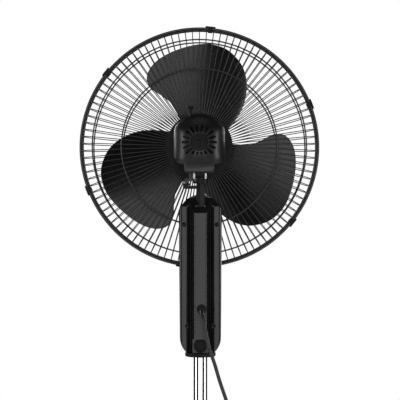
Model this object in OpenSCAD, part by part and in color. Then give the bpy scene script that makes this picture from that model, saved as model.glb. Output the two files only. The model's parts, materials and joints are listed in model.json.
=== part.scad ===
// Pedestal fan: weighted round base, telescopic pole, control box and oscillating head in a wire guard.
// Z is up, the fan blows towards -Y, and the origin is on the floor under the pole's axis.

/* [Guard] */
// Outer diameter of the guard's trim ring
guard_d = 440; // [430:2:450]
// Radial wires on each half of the guard
wire_count = 102; // [60:6:120]
// Width across a radial wire
wire_d = 1.6; // [1.5:0.1:2.2]
// Diameter of the centre plate on the front guard
badge_d = 126; // [110:2:130]

/* [Blade] */
// Diameter swept by the blade's tips
blade_d = 380; // [370:2:384]
// Thickness of a leaf
leaf_t = 2.2; // [1.8:0.1:2.6]

/* [Stand] */
// Height of the fan's axis above the floor
axis_z = 1040; // [1040:1:1060]
// Diameter of the round base
base_d = 400; // [390:5:420]
// Diameter of the chrome pole that slides
pole_d = 24; // [23:0.1:24]

/* [Control box] */
// Width of the control box at its rounded top
box_w = 76.2; // [75:0.1:78]
// Top of the collar under the box
box_foot_z = 674; // [672:1:676]
// Push button diameter
button_d = 13; // [10:0.5:14]

/* [Cord] */
// Diameter of the mains lead
cord_d = 6.4; // [5.5:0.1:7]

/* [Hidden] */
$fn = 64;

gap = 0.05;              // between pieces that are fastened to each other
fit = 0.04;              // radial running fit
head_x = 1.8;            // the head sits a little to one side of the swivel axis
head_y = -25;            // and forward of it
tilt_z = 932;            // the head's tilt axis, along X inside the box
tilt_pin_r = 3;
ear_x = [8.4, 14.8];      // the two ears that hold the tilt pin stand between the valleys' walls
wire_r = wire_d / 2;

// Guard, in the head's own frame: the fan's axis is Y and y = 0 is the stator's front face
rim_y = -80;             // the plane where the two halves meet
end_ring_d = 4.4;
end_ring_r = guard_d / 2 - 5.3;
end_ring_off = 3.7;      // each end ring's distance from the rim plane
plate_r = 60;            // the rear guard's centre plate
wire_in_r = 50;          // where the radial wires end
rear_bend = 34;
rear_slope = 4;
front_bend = 50;
front_slope = 8;
ring_d = 2.6;
rear_rings = [141, 193.4];   // radii of the supporting rings, where they touch the wires
front_rings = [143.3, 196.1];
clip_at = [14.5, 31.5, 48.5, 65.5, 82.5, 100.5];  // the clips' places, in wire gaps from the top

// Blade
hub_r = 36;
hub_y = [-100, -58];
leaf_curve = 350;        // radius of a leaf's camber
leaf_crest = 115;        // the crest's distance ahead of the leaf's middle line
leaf_y = -51;            // the crest's place along the axis
leaf_middle = 97;        // angle of the first leaf's middle line, from +X towards +Z
// A leaf's outline: radius, and angle from its middle line, for a blade of this diameter
outline_d = 380;
leaf_points = [[34, -44], [61, -42], [90, -39.5], [113, -43], [135, -46.5], [153, -45.5], [164, -42],
    [173, -35.5], [178.5, -27], [182.5, -18], [187.5, -8], [190, -0.5], [188, 7.5], [180.5, 14.5],
    [171, 20.5], [158, 26], [146, 30], [125, 36], [107, 40.5], [86.5, 45], [68, 49.5], [34, 56]];

// Motor and gearbox, in the head's frame
shaft_r = 4;
motor_r = 38;
stator_y = [0, 22];
bell_y = [-28, 48];       // outer faces of the two bells
front_neck = 16;          // how far each bell's neck stands out
rear_neck = 1.9;
neck_r = 15;
bush_r = 8;
gear_x = 15;             // the crank's vertical axis
gear_y = 62;
cover_w = 89;
cover_r = 53;
cover_wall = 2.2;
cover_y = [-25, 100];
dome_r = 45;             // radius that rounds its rear over
case_w = 53;             // the lower part of the cover, over the gearbox
case_y = 86;
case_bottom = -50;
cover_low = -33;         // where the straight sides end
vent_count = 18;
seat_y = 93;             // the seat of the upper cover screw
vents_up = 3;            // how far the ring of vents stands above the fan's axis

// Swivel
post_r = 8;
arm_r = 13;
arm_z = [986, 996];      // the arm that turns on the post
link_z = 969;
link_t = 3.5;
disc_z = 976;            // underside of the crank's disc
stud = [26, -12];        // where the link is held to the tilt bracket
crank_pin = [24.8, 37];  // where the crank's pin stands at rest

// Stand
pole_r = pole_d / 2;
sleeve_r = 15;
sleeve_top = 560;
pole_low = 300;
plate_z = 3;
box_r = box_w / 2;
box_low_r = box_r - 1.9;  // the box narrows towards its foot
box_top_z = 915;         // centre of the rounded top
box_low_z = 702;         // centre of the rounded foot
shell_t = 2.5;
split_y = -1;
rib_y = 24;
front_y = -34;
knob_z = 687;
gland_x = -2;
gland_z = 752;
gland_r = 6;
recess_y = 16;           // the flat that the lock knob sits against
recess_w = 16.5;
collar_h = 6.5;          // the collar below the box's foot
shell_screw_at = [[28.7, 900], [-28.7, 900], [23.4, 722], [-23.4, 722]];
button_z = [862, 836, 810, 784];
window_w = 28;
window_z = [886, 906];

// The mains lead: it leaves the box to the rear, hangs down beside the pole and ends in a coil on the floor
lead_floor = cord_d / 2;
lead_points = [[-2, 50, 752], [-2, 58, 751], [-3, 67, 746], [-5.5, 73, 736], [-8.5, 76, 720],
    [-15, 79, 690], [-24.5, 81, 662], [-33.5, 84, 632], [-46.5, 87, 594], [-62, 92, 545], [-79, 99, 490],
    [-95, 108, 430], [-110, 119, 365], [-122, 131, 300], [-132, 144, 235], [-140, 158, 170],
    [-147, 173, 110], [-153, 190, 60], [-157, 206, 24], [-156, 221, 7], [-147, 234, lead_floor],
    [-131, 238, lead_floor], [-111, 233, lead_floor], [-91, 226, lead_floor]];
coil_at = [-66, 262];
coil_mid_r = 33;
plug_tail = 27;
plug_at = [coil_at[0] + coil_mid_r + cord_d / 2, coil_at[1] + 50.5];

// Points on an arc about c, from angle a0 to a1 in n steps
function arc(c, r, a0, a1, n) = [for (i = [0:n])
    let (a = a0 + (a1 - a0) * i / n) [c[0] + r * cos(a), c[1] + r * sin(a)]];

module at_head() translate([head_x, head_y, axis_z]) children();
// Back from the head's frame to the swivel axis
module at_swivel() translate([-head_x, -head_y, 0]) children();
// A cylinder along Y from y0 to y1
module along_y(r, y0, y1) translate([0, y0, 0]) rotate([-90, 0, 0]) cylinder(r = r, h = y1 - y0);
module tube_y(r_out, r_in, y0, y1) difference() {
    along_y(r_out, y0, y1);
    along_y(r_in, y0 - 1, y1 + 1);
}
module tube_z(r_out, r_in, z0, z1) translate([0, 0, z0]) difference() {
    cylinder(r = r_out, h = z1 - z0);
    translate([0, 0, -1]) cylinder(r = r_in, h = z1 - z0 + 2);
}
module box_at(x, y, z) translate([x[0], y[0], z[0]]) cube([x[1] - x[0], y[1] - y[0], z[1] - z[0]]);

// ---- Stand ----

module base_plate() color("#3b3b3d") tube_z(base_d / 2 - 10, 9, plate_z, plate_z + 2);

module base_feet() color("#1c1c1c")
    for (i = [0:4]) rotate([0, 0, 72 * i + 18]) translate([base_d / 2 - 26, 0, 0])
        cylinder(r = 9, h = plate_z - gap);

module base_weight() color("#55565a") tube_z(112, 9, plate_z + 2 + gap, 12);

module base_cover() color("#151516") rotate_extrude() polygon(concat(
    [[base_d / 2, plate_z], [base_d / 2, 9]],
    arc([base_d / 2 - 8, 9], 8, 20, 70, 3),
    [[base_d / 2 - 14, 18], [60, 27], [36, 30], [sleeve_r + 0.3, 30], [sleeve_r + 0.3, 27.5], [36, 27.5],
     [60, 24.5], [base_d / 2 - 14, 15.5], [base_d / 2 - 2.6, 9], [base_d / 2 - 2.6, plate_z]]));

module base_bolt() color("#b9bcc0") {
    translate([0, 0, plate_z - 1.6]) cylinder(r = 14, h = 1.6 - gap);
    translate([0, 0, plate_z - gap]) cylinder(r = 6, h = 24);
}

module pole_trim() color("#151516") rotate_extrude()
    polygon([[sleeve_r + 0.3, 30 + gap], [38, 30 + gap], [38, 34], [26, 44], [20, 62], [18.5, 78],
        [sleeve_r + 0.3, 78]]);

module outer_pole() color("#1b1b1c") {
    tube_z(sleeve_r, pole_r + 0.7, 12 + gap, sleeve_top);
    tube_z(pole_r + 1.2, 6 + gap, 12 + gap, 26);
}

module pole_collet() color("#1f1f20") {
    tube_z(pole_r + 0.65, pole_r + 0.06, sleeve_top - 70, sleeve_top + gap);
    tube_z(sleeve_r, pole_r + 0.06, sleeve_top + gap, sleeve_top + 5);
}

module height_collar() color("#161617") difference() {
    rotate_extrude() polygon([[sleeve_r + 0.3, 520], [20, 520], [22, 526], [22, 566], [19, 578],
        [pole_r + 0.6, 578], [pole_r + 0.6, sleeve_top + 5.3], [sleeve_r + 0.3, sleeve_top + 5.3]]);
    for (i = [0:15]) rotate([0, 0, 22.5 * i]) translate([23.4, 0, 530]) cylinder(r = 2, h = 32);
}

module inner_pole() color("#d6d8db") tube_z(pole_r, pole_r - 1.2, pole_low, 725);

// ---- Control box ----

// The box as seen from the rear, moved in by t: a rounded top, sides that taper and a foot cut level
module box_outline(t) {
    top = box_r - t;
    low = box_low_r - t;
    translate([0, box_top_z]) circle(r = top);
    polygon([[-top, box_top_z], [top, box_top_z], [low, box_low_z], [-low, box_low_z]]);
    intersection() {
        translate([0, box_low_z]) circle(r = low);
        translate([-low, box_foot_z + t]) square([2 * low, box_low_z - box_foot_z - t]);
    }
}
module box_prism(t) rotate([90, 0, 0]) linear_extrude(height = 120, center = true) box_outline(t);
module pole_hole() translate([0, 0, box_foot_z - 14]) cylinder(r = pole_r + 0.2, h = 30);

// The box's section across the rear: two rounded wings, two valleys and the flat rib between them
// Moved in by t, as half of the section and its mirror image
function both_sides(half) = concat(half, [for (i = [len(half) - 1:-1:0]) [-half[i][0], half[i][1]]]);
module rear_section(t) polygon(both_sides([[box_r - t, split_y - t], [box_r - t, 6 - t / 6],
    [36.3 - 0.8 * t, 11 - 0.7 * t], [32.5 - 0.3 * t, 13.3 - t], [24.5 + 0.3 * t, 13.6 - t],
    [21.5 + 0.7 * t, 11.4 - 0.7 * t], [17.5 - 0.3 * t, 6.5 - 2 * t], [10.5 - 0.7 * t, rib_y - t]]));
module front_section(t) polygon(both_sides([[box_r - t, split_y + t], [box_r - t, -22 + t / 2],
    [31 - t, -30 + t], [22 - t, front_y + t]]));
module tall(z0, z1) translate([0, 0, z0]) linear_extrude(height = z1 - z0) children();
// The wedge above the sloping shoulder, moved back by t
module shoulder(t) rotate([90, 0, 90]) linear_extrude(height = 100, center = true)
    polygon([[30 - t, 914 - t], [-5 - t, 951.5 - t], [-5 - t, 980], [60, 980], [60, 914 - t]]);
module stem_slot() box_at([-8.2, 8.2], [-13, 15], [916, 970]);

module rear_shell() color("#171718") difference() {
    intersection() {
        tall(box_foot_z, 960) rear_section(0);
        box_prism(0);
    }
    difference() {
        intersection() {
            tall(box_foot_z + shell_t, 960) rear_section(shell_t);
            box_prism(shell_t);
        }
        shoulder(shell_t);
        box_at([-recess_w, recess_w], [recess_y - shell_t, 40], [670, 702]);
        for (p = shell_screw_at) translate([p[0], 0, p[1]]) along_y(5.4, 2, 20);
    }
    shoulder(0);
    box_at([-recess_w + shell_t, recess_w - shell_t], [recess_y, 40], [670, 699]);
    stem_slot();
    for (p = shell_screw_at) translate([p[0], 0, p[1]]) {
        along_y(1.8, -5, 40);
        along_y(4.2, 9, 40);
    }
    translate([gland_x, 0, gland_z]) along_y(gland_r, 0, 40);
    translate([0, 0, knob_z]) along_y(3.2, 0, 40);
    pole_hole();
}

module front_shell() color("#171718") difference() {
    intersection() {
        tall(box_foot_z, 960) front_section(0);
        box_prism(0);
    }
    difference() {
        intersection() {
            tall(box_foot_z + shell_t, 960) front_section(shell_t);
            box_prism(shell_t);
        }
        for (p = shell_screw_at) translate([p[0], 0, p[1]]) along_y(4.2, -40, split_y);
    }
    translate([0, split_y - gap, 0]) box_at([-50, 50], [0, 2], [600, 1000]);
    stem_slot();
    for (p = shell_screw_at) translate([p[0], 0, p[1]]) along_y(1.55, -26, 5);
    for (z = button_z) translate([0, 0, z]) along_y(button_d / 2 + 0.4, -40, -25);
    box_at([-window_w / 2, window_w / 2], [-40, -25], window_z);
    pole_hole();
}

module shell_screws() color("#26262a") for (p = shell_screw_at) translate([p[0], 0, p[1]]) difference() {
    union() {
        along_y(1.5, -24, 9 + gap);
        along_y(3.2, 9 + gap, 11);
    }
    box_at([-0.4, 0.4], [10, 12], [-2.2, 2.2]);
    box_at([-2.2, 2.2], [10, 12], [-0.4, 0.4]);
}

module box_collar() color("#151516") difference() {
    tube_z(27, pole_r + 0.2, box_foot_z - collar_h, box_foot_z - gap);
    box_at([-3, 3], [24, 30], [660, 680]);
}

module pole_socket() color("#202022") difference() {
    tube_z(16, pole_r + 0.1, box_foot_z + shell_t + gap, 735);
    box_at([-20, 20], [recess_y - shell_t - gap, 20], [670, 702 + gap]);
    translate([0, 0, knob_z]) along_y(3.2, 0, 40);
}

module pivot_block() color("#202022") for (s = [-1, 1]) difference() {
    union() {
        box_at(s > 0 ? ear_x : [-ear_x[1], -ear_x[0]], [-14, 5], [900, 928]);
        translate([s > 0 ? ear_x[0] : -ear_x[1], 0, tilt_z]) rotate([0, 90, 0])
            cylinder(r = 5.5, h = ear_x[1] - ear_x[0]);
    }
    translate([0, 0, tilt_z]) rotate([0, 90, 0]) cylinder(r = tilt_pin_r + fit, h = 60, center = true);
}

module tilt_pin() color("#c2c4c8") translate([0, 0, tilt_z]) rotate([0, 90, 0])
    cylinder(r = tilt_pin_r, h = 2 * ear_x[1] + 1, center = true);

module control_panel() color("#232326") difference() {
    box_at([-19, 19], [front_y - 1.4, front_y - gap], [768, 912]);
    for (z = button_z) translate([0, 0, z]) along_y(button_d / 2 + 0.4, -40, -25);
    box_at([-window_w / 2, window_w / 2], [-40, -25], window_z);
}

module display_window() color("#0b0b10")
    box_at([-window_w / 2 + gap, window_w / 2 - gap], [front_y - 1.2, front_y + 2],
        [window_z[0] + gap, window_z[1] - gap]);

module circuit_board() color("#1f5a35") box_at([-20, 20], [-24, -22.4], [770, 890]);

// A push button: a cap with a collar that keeps it behind the panel
module button(z) translate([0, 0, z]) {
    along_y(button_d / 2, front_y - 3, -29.2);
    along_y(button_d / 2 + 1.6, -30.9, -29.2);
}
module power_button() color("#8c2a2a") button(button_z[0]);
module speed_button() color("#4a4a4e") button(button_z[1]);
module timer_button() color("#4a4a4e") button(button_z[2]);
module swing_button() color("#4a4a4e") button(button_z[3]);

// A collar inside the wall, a boss on the rib and a tapered sleeve around the lead
module strain_relief() color("#0f0f10") translate([gland_x, 0, gland_z]) rotate([-90, 0, 0]) rotate_extrude()
    polygon([[0, 14], [8, 14], [8, 20], [gland_r - gap, 20], [gland_r - gap, rib_y + gap],
        [8.6, rib_y + gap], [8.6, 28], [gland_r, 31], [4.4, 50], [0, 50]]);

// A fluted thumb knob with a sunk middle, on the screw that grips the pole
module lock_knob() color("#101011") translate([0, 0, knob_z]) difference() {
    union() {
        along_y(3, pole_r + 0.3, 17);
        along_y(11.8, 16.4, 27);
    }
    along_y(8.6, 22, 30);
    for (i = [0:11]) rotate([0, 30 * i, 0]) translate([13, 0, 0]) along_y(1.8, 15, 30);
}

// ---- Tilt and swivel ----

module tilt_bracket() color("#151516") difference() {
    union() {
        translate([0, 0, tilt_z]) linear_extrude(height = 974 - tilt_z)
            polygon([[-7.3, -6], [7.3, -6], [7.3, 2.5], [0.4, 6], [-7.3, 6]]);
        translate([0, 0, tilt_z]) rotate([0, 90, 0]) cylinder(r = 6, h = 14.6, center = true);
        translate([0, 0, 973]) cylinder(r = 13, h = arm_z[0] - 973 - 0.3);
        translate([0, 0, 980]) cylinder(r = post_r, h = arm_z[1] + 0.5 - 980);
        box_at([2, 31], [-18, -3], [link_z - 6, link_z - 0.3]);
        translate([stud[0], stud[1], link_z - 3]) cylinder(r = 3, h = link_t + 3.3);
    }
    translate([0, 0, tilt_z]) rotate([0, 90, 0]) cylinder(r = tilt_pin_r + fit, h = 60, center = true);
    translate([0, 0, 985]) cylinder(r = 2.05, h = 20);
    translate([stud[0], stud[1], link_z - 5]) cylinder(r = 1.3, h = 20);
}

module pivot_washer() color("#b9bcc0") tube_z(10.5, 2.3, arm_z[1] + 0.5 + gap, arm_z[1] + 1.7);
module pivot_screw() color("#b9bcc0") {
    translate([0, 0, 986]) cylinder(r = 2, h = arm_z[1] + 1.7 + gap - 986);
    translate([0, 0, arm_z[1] + 1.7 + gap]) cylinder(r = 4, h = 2.2);
}

module crank_link() color("#2a2a2c") difference() {
    hull() {
        translate([stud[0], stud[1], link_z]) cylinder(r = 6, h = link_t, $fn = 24);
        translate([crank_pin[0], crank_pin[1], link_z]) cylinder(r = 6, h = link_t, $fn = 24);
    }
    translate([stud[0], stud[1], link_z - 1]) cylinder(r = 3 + fit, h = link_t + 2);
    translate([crank_pin[0], crank_pin[1], link_z - 1]) cylinder(r = 2.6, h = link_t + 2);
}
module link_screw() color("#b9bcc0") translate([stud[0], stud[1], 0]) {
    translate([0, 0, link_z + link_t + 0.3 + gap]) cylinder(r = 4.6, h = 1.6);
    translate([0, 0, link_z - 2]) cylinder(r = 1.25, h = link_t + 2.3 + 2 * gap);
}

// ---- Motor and gearbox ----

module gearbox() color("#161617") at_head() difference() {
    union() {
        box_at([-16, 28], [50, 78], [-30, 16]);
        box_at([-arm_r, arm_r], [50, 60], [arm_z[0] - axis_z, -29]);
        translate([gear_x, gear_y, -46]) cylinder(r = 7, h = 17);
        at_swivel() {
            box_at([-arm_r, arm_r], [0, 30], [arm_z[0] - axis_z, arm_z[1] - axis_z]);
            translate([0, 0, arm_z[0] - axis_z]) cylinder(r = arm_r, h = arm_z[1] - arm_z[0]);
        }
    }
    box_at([-13, 25.5], [52, 75], [-24, 20]);
    at_swivel() translate([0, 0, -60]) cylinder(r = post_r + fit, h = 30);
    translate([gear_x, gear_y, -60]) cylinder(r = shaft_r + fit, h = 40);
    along_y(shaft_r + fit, 40, 60);
}

module gearbox_lid() color("#161617") at_head() difference() {
    box_at([-16, 28], [50, 78], [16 + gap, 19]);
    translate([gear_x, gear_y, 0]) cylinder(r = 3.1 + fit, h = 30);
}

// Worm wheel, its upright shaft, the crank disc under the gearbox and the pin that drives the link
module crank() color("#1b1b1c") at_head() {
    translate([gear_x, gear_y, 0]) difference() {
        union() {
            translate([0, 0, -61.5]) cylinder(r = shaft_r, h = 60);
            translate([0, 0, -6]) cylinder(r = 9.4, h = 12);
            translate([0, 0, disc_z - axis_z]) cylinder(r = 12, h = 4);
        }
        for (i = [0:17]) rotate([0, 0, 20 * i]) translate([9.6, 0, -7]) cylinder(r = 0.9, h = 14);
        cylinder(r = 3.4, h = 10);
    }
    at_swivel() translate([crank_pin[0], crank_pin[1], link_z + link_t + 0.3 - axis_z])
        cylinder(r = 2.5, h = disc_z + 0.5 - link_z - link_t - 0.3);
}

module swing_knob() color("#121213") at_head() translate([gear_x, gear_y, 0]) rotate_extrude()
    polygon([[0, 10], [3, 10], [3, 60], [4.2, 63], [6, 64.5], [6, 67], [0, 67]]);

// The cover's solid form, shrunk by t: a domed drum whose straight sides are rounded over the same way,
// and a lower part over the gearbox
module cover_form(t) {
    side = cover_w / 2 - t;
    shoulder_y = cover_y[1] - dome_r - t;
    intersection() {
        rotate([-90, 0, 0]) rotate_extrude() polygon(concat(
            [[0, cover_y[0] - t], [cover_r - t, cover_y[0] - t]],
            arc([cover_r - dome_r - t, shoulder_y], dome_r, 0, 75, 9),
            [[0, cover_y[1] - t]]));
        translate([0, 0, cover_low + t]) linear_extrude(height = 93) polygon(both_sides(concat(
            [[side, cover_y[0] - 5]],
            arc([side - dome_r, shoulder_y], dome_r, 0, 75, 9),
            [[0.1, cover_y[1] + 10]])));
    }
    box_at([-case_w / 2 + t, case_w / 2 - t], [cover_y[0] - t, case_y - t], [case_bottom + t, 0]);
}

module motor_cover() color("#141414") at_head() difference() {
    cover_form(0);
    cover_form(cover_wall);
    translate([0, 0, vents_up]) for (i = [0:vent_count - 1])
        rotate([0, 360 / vent_count * (i + 0.5), 0]) box_at([-1.9, 1.9], [60, 120], [17, 30]);
    translate([gear_x, gear_y, 0]) cylinder(r = 3.8, h = 80);
    translate([gear_x, gear_y, -60]) cylinder(r = 6, h = 30);
    translate([0, 0, vents_up]) along_y(1.7, 80, 120);
    translate([0, 0, 30]) {
        along_y(1.7, 70, 120);
        along_y(3.1, seat_y, 120);
    }
    box_at([-arm_r - head_x - 0.6, arm_r + 0.6], [10, 61], [case_bottom - 10, -43]);
}

module cover_screws() color("#5b5d60") at_head() {
    translate([0, 0, vents_up]) {
        along_y(1.5, 78 + gap, 100 + gap);
        along_y(3.4, 100 + gap, 102);
    }
    translate([0, 0, 30]) {
        along_y(1.5, 84, seat_y + gap);
        along_y(2.8, seat_y + gap, seat_y + 1.6);
    }
}

module cover_studs() color("#c2c4c8") at_head() for (x = [-11, 9]) translate([x, 69, case_bottom - 9.5])
    cylinder(r = 1.9, h = 9.5 - gap);

// A bell is a cup with its open rim at y = 0, and a neck behind its end wall that seats a bush
module bell(depth, neck) difference() {
    union() {
        along_y(motor_r, 0, depth);
        along_y(neck_r, depth, depth + neck);
    }
    along_y(motor_r - 2.5, -1, depth - 3);
    along_y(bush_r, -1, depth + neck + 1);
}
module front_bell() color("#161617") at_head() translate([0, stator_y[0] - gap, 0]) mirror([0, 1, 0])
    bell(stator_y[0] - gap - bell_y[0], front_neck);
module rear_bell() color("#161617") at_head() translate([0, stator_y[1] + gap, 0])
    bell(bell_y[1] - stator_y[1] - gap, rear_neck);

module stator() color("#6e6f73") at_head() difference() {
    along_y(motor_r, stator_y[0], stator_y[1]);
    along_y(22.5, -1, 30);
}
module windings() color("#b4622d") at_head() {
    tube_y(33, 25, -13, stator_y[0] - gap);
    tube_y(33, 25, stator_y[1] + gap, 35);
}
module bushes() color("#b08d57") at_head() {
    tube_y(bush_r - 0.02, shaft_r + 0.03, bell_y[0] - front_neck, bell_y[0] - 2);
    tube_y(bush_r - 0.02, shaft_r + 0.03, bell_y[1] - 8, bell_y[1] + 1.5);
}

module shaft() color("#c9cbcf") at_head() difference() {
    union() {
        along_y(shaft_r, -117, 72);
        along_y(5, 54, 70);
    }
    translate([0, -74, 0]) cylinder(r = 1.5, h = 20, center = true);
}
module rotor_core() color("#7c7d80") at_head() tube_y(22, shaft_r + 0.02, -2, 24);

// ---- Blade ----

module leaf() intersection() {
    translate([leaf_crest, leaf_y - leaf_curve, 0]) difference() {
        cylinder(r = leaf_curve, h = 250);
        translate([0, 0, -1]) cylinder(r = leaf_curve - leaf_t, h = 252);
    }
    rotate([90, 0, 0]) translate([0, 0, 40]) linear_extrude(height = 100)
        polygon([for (p = leaf_points)
            p[0] * (p[0] > hub_r ? blade_d / outline_d : 1) * [-sin(p[1]), cos(p[1])]]);
}

module fan_blade() color("#1a1a1b") at_head() {
    difference() {
        union() {
            along_y(hub_r, hub_y[0], hub_y[1]);
            for (i = [0:2]) rotate([0, 90 - leaf_middle - 120 * i, 0]) leaf();
        }
        along_y(hub_r - 3, hub_y[0] + 3, hub_y[1] + 30);
        along_y(shaft_r + 0.02, -120, 0);
    }
    tube_y(9, shaft_r + 0.02, hub_y[0] + 2, -64);
}

module blade_nut() color("#1a1a1b") at_head() difference() {
    rotate([90, 0, 0]) rotate_extrude()
        polygon([[0, 100 + gap], [20, 100 + gap], [20, 108], [14, 118], [6, 122], [0, 122]]);
    along_y(shaft_r + 0.02, -119, -90);
    for (i = [0:5]) rotate([0, 60 * i, 0]) translate([21.5, 0, 0]) along_y(3, -130, -95);
}

// ---- Guard ----

// One radial wire: a bend that comes up from the rim, and a straight run from it to the wire's inner end
module wire(bend, slope) {
    run = (end_ring_r - bend + bend * sin(slope) - wire_in_r) / cos(slope) - gap;
    translate([0, end_ring_off + end_ring_d / 2 + gap, end_ring_r - bend]) rotate([0, -90, 0]) {
        rotate_extrude(angle = 90 - slope) translate([bend, 0]) circle(r = wire_r, $fn = 6);
        rotate([0, 0, 90 - slope]) translate([bend, gap, 0]) rotate([-90, 0, 0])
            cylinder(r = wire_r, h = run, $fn = 6);
    }
}
module wires(bend, slope)
    for (i = [0:wire_count - 1]) rotate([0, 360 / wire_count * i, 0]) wire(bend, slope);

// Height of a half's wires above the rim plane at radius r
function wire_y(r, bend, slope) = end_ring_off + end_ring_d / 2 + gap
    + (r > end_ring_r - bend + bend * sin(slope)
        ? sqrt(bend * bend - pow(r - end_ring_r + bend, 2))
        : bend * cos(slope) + (end_ring_r - bend + bend * sin(slope) - r) * tan(slope));
module ring(r, y, d) translate([0, y, 0]) rotate([-90, 0, 0]) rotate_extrude()
    translate([r, 0]) circle(d = d, $fn = 8);
// The supporting rings lie outside the wires
module rings(radii, bend, slope) {
    ring(end_ring_r, end_ring_off, end_ring_d);
    for (r = radii) {
        bent = r > end_ring_r - bend + bend * sin(slope);
        lean = bent ? asin((r - end_ring_r + bend) / bend) : slope;
        out = wire_r + ring_d / 2 + 2 * gap;
        ring(r + out * sin(lean), wire_y(r, bend, slope) + out * cos(lean), ring_d);
    }
}
module rear_half() at_head() translate([0, rim_y, 0]) children();
module front_half() at_head() translate([0, rim_y, 0]) mirror([0, 1, 0]) children();

plate_y = wire_y(wire_in_r, rear_bend, rear_slope) + wire_r + 0.1;
badge_y = wire_y(wire_in_r, front_bend, front_slope) + wire_r + 0.15;

module rear_guard_plate() color("#151516") rear_half() tube_y(plate_r, 15.3, plate_y, plate_y + 1.5);
module rear_guard_wires() color("#161617") rear_half() wires(rear_bend, rear_slope);
module rear_guard_rings() color("#161617") rear_half() rings(rear_rings, rear_bend, rear_slope);
module front_guard_wires() color("#161617") front_half() wires(front_bend, front_slope);
module front_guard_rings() color("#161617") front_half() rings(front_rings, front_bend, front_slope);

module guard_nut() color("#151516") rear_half() difference() {
    tube_y(30, 15.3, plate_y - 9, plate_y - gap);
    for (i = [0:11]) rotate([0, 30 * i, 0]) translate([31, 0, 0]) along_y(2.5, plate_y - 12, plate_y + 3);
}

module badge() color("#2b2b2e") front_half() difference() {
    along_y(badge_d / 2, badge_y, badge_y + 3);
    along_y(badge_d / 2 - 6, badge_y + 2, badge_y + 8);
}

module guard_trim() color("#1c1c1d") rear_half() rotate([-90, 0, 0]) rotate_extrude()
    translate([guard_d / 2, 0]) polygon([[0, -8], [0, 8], [-3.8, 8], [-3.8, 6.6], [-2.8, 6.2],
        [-2.8, -6.2], [-3.8, -6.6], [-3.8, -8]]);

// A clip: a curved strap over the rim and two thin hooks between the wires
module clip() rotate([-90, 0, 0]) {
    rotate([0, 0, -92.4]) rotate_extrude(angle = 4.8) translate([guard_d / 2, 0])
        polygon([[0.1, -11], [2.4, -10], [2.4, 10], [0.1, 11]]);
    for (s = [0, 1]) mirror([0, 0, s]) rotate([0, 0, -91.1]) rotate_extrude(angle = 2.2)
        translate([guard_d / 2, 0]) polygon([[-8, 9], [0.2, 8.2], [0.2, 10.8], [-8, 10.8]]);
}
module guard_clips() color("#121213") rear_half()
    for (place = clip_at) rotate([0, 360 / wire_count * place, 0]) clip();

// ---- Mains lead ----

function unit(v) = v / norm(v);
// A smooth curve through the points, n steps between each two
function curve(p, n) = concat([for (i = [0:len(p) - 2], k = [0:n - 1]) let (
        a = p[max(i - 1, 0)], b = p[i], c = p[i + 1], d = p[min(i + 2, len(p) - 1)], t = k / n)
    0.5 * (2 * b + (c - a) * t + (2 * a - 5 * b + 4 * c - d) * t * t + (3 * b - a - 3 * c + d) * t * t * t)],
    [p[len(p) - 1]]);
module sweep(p, r, sides) {
    n = len(p);
    rings = [for (i = [0:n - 1]) let (
            d = i == 0 ? [0, 1, 0] : unit(p[min(i + 1, n - 1)] - p[i - 1]),
            s = unit(cross(d, [1, 0.15, 0.2])), u = cross(d, s))
        for (k = [0:sides - 1]) p[i] + r * (cos(360 * k / sides) * s + sin(360 * k / sides) * u)];
    polyhedron(rings, concat(
        [[for (k = [0:sides - 1]) k]],
        [for (i = [0:n - 2], k = [0:sides - 1]) let (a = i * sides + k, b = i * sides + (k + 1) % sides)
            [b, a, a + sides, b + sides]],
        [[for (k = [sides - 1:-1:0]) (n - 1) * sides + k]]));
}

module cord_lead() color("#1a1a1a") sweep(curve(lead_points, 3), cord_d / 2, 8);

module cord_coil() color("#1a1a1a") translate([coil_at[0], coil_at[1], 0]) rotate_extrude()
    translate([coil_mid_r, 0]) polygon([[-cord_d, 2], [2 - cord_d, 0], [cord_d - 2, 0], [cord_d, 2],
        [cord_d, 2 * cord_d - 2], [cord_d - 2, 2 * cord_d], [2 - cord_d, 2 * cord_d],
        [-cord_d, 2 * cord_d - 2]]);

// The plug lies beside the coil, with its own tapered relief towards the turns
module plug() color("#1a1a1a") translate([plug_at[0], plug_at[1], 0]) {
    box_at([-12, 12], [0, 30], [0, 16]);
    translate([0, 0, 8]) rotate([90, 0, 0]) cylinder(r1 = 6, r2 = cord_d / 2 + 0.6, h = plug_tail);
}
module plug_pins() color("#c9a64a") translate([plug_at[0], plug_at[1], 8])
    for (x = [-6.5, 6.5]) translate([x, 0, 0]) along_y(2.2, 30 + gap, 48);

base_plate();
base_feet();
base_weight();
base_cover();
base_bolt();
pole_trim();
outer_pole();
pole_collet();
height_collar();
inner_pole();
box_collar();
pole_socket();
rear_shell();
front_shell();
shell_screws();
pivot_block();
tilt_pin();
control_panel();
display_window();
circuit_board();
power_button();
speed_button();
timer_button();
swing_button();
strain_relief();
lock_knob();
tilt_bracket();
pivot_washer();
pivot_screw();
crank_link();
link_screw();
gearbox();
gearbox_lid();
crank();
swing_knob();
motor_cover();
cover_screws();
cover_studs();
front_bell();
rear_bell();
stator();
windings();
bushes();
shaft();
rotor_core();
fan_blade();
blade_nut();
rear_guard_plate();
rear_guard_wires();
rear_guard_rings();
guard_nut();
front_guard_wires();
front_guard_rings();
badge();
guard_trim();
guard_clips();
cord_lead();
cord_coil();
plug();
plug_pins();
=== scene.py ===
import json
import math

import bmesh
import bpy
from mathutils import Matrix, Vector


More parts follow.
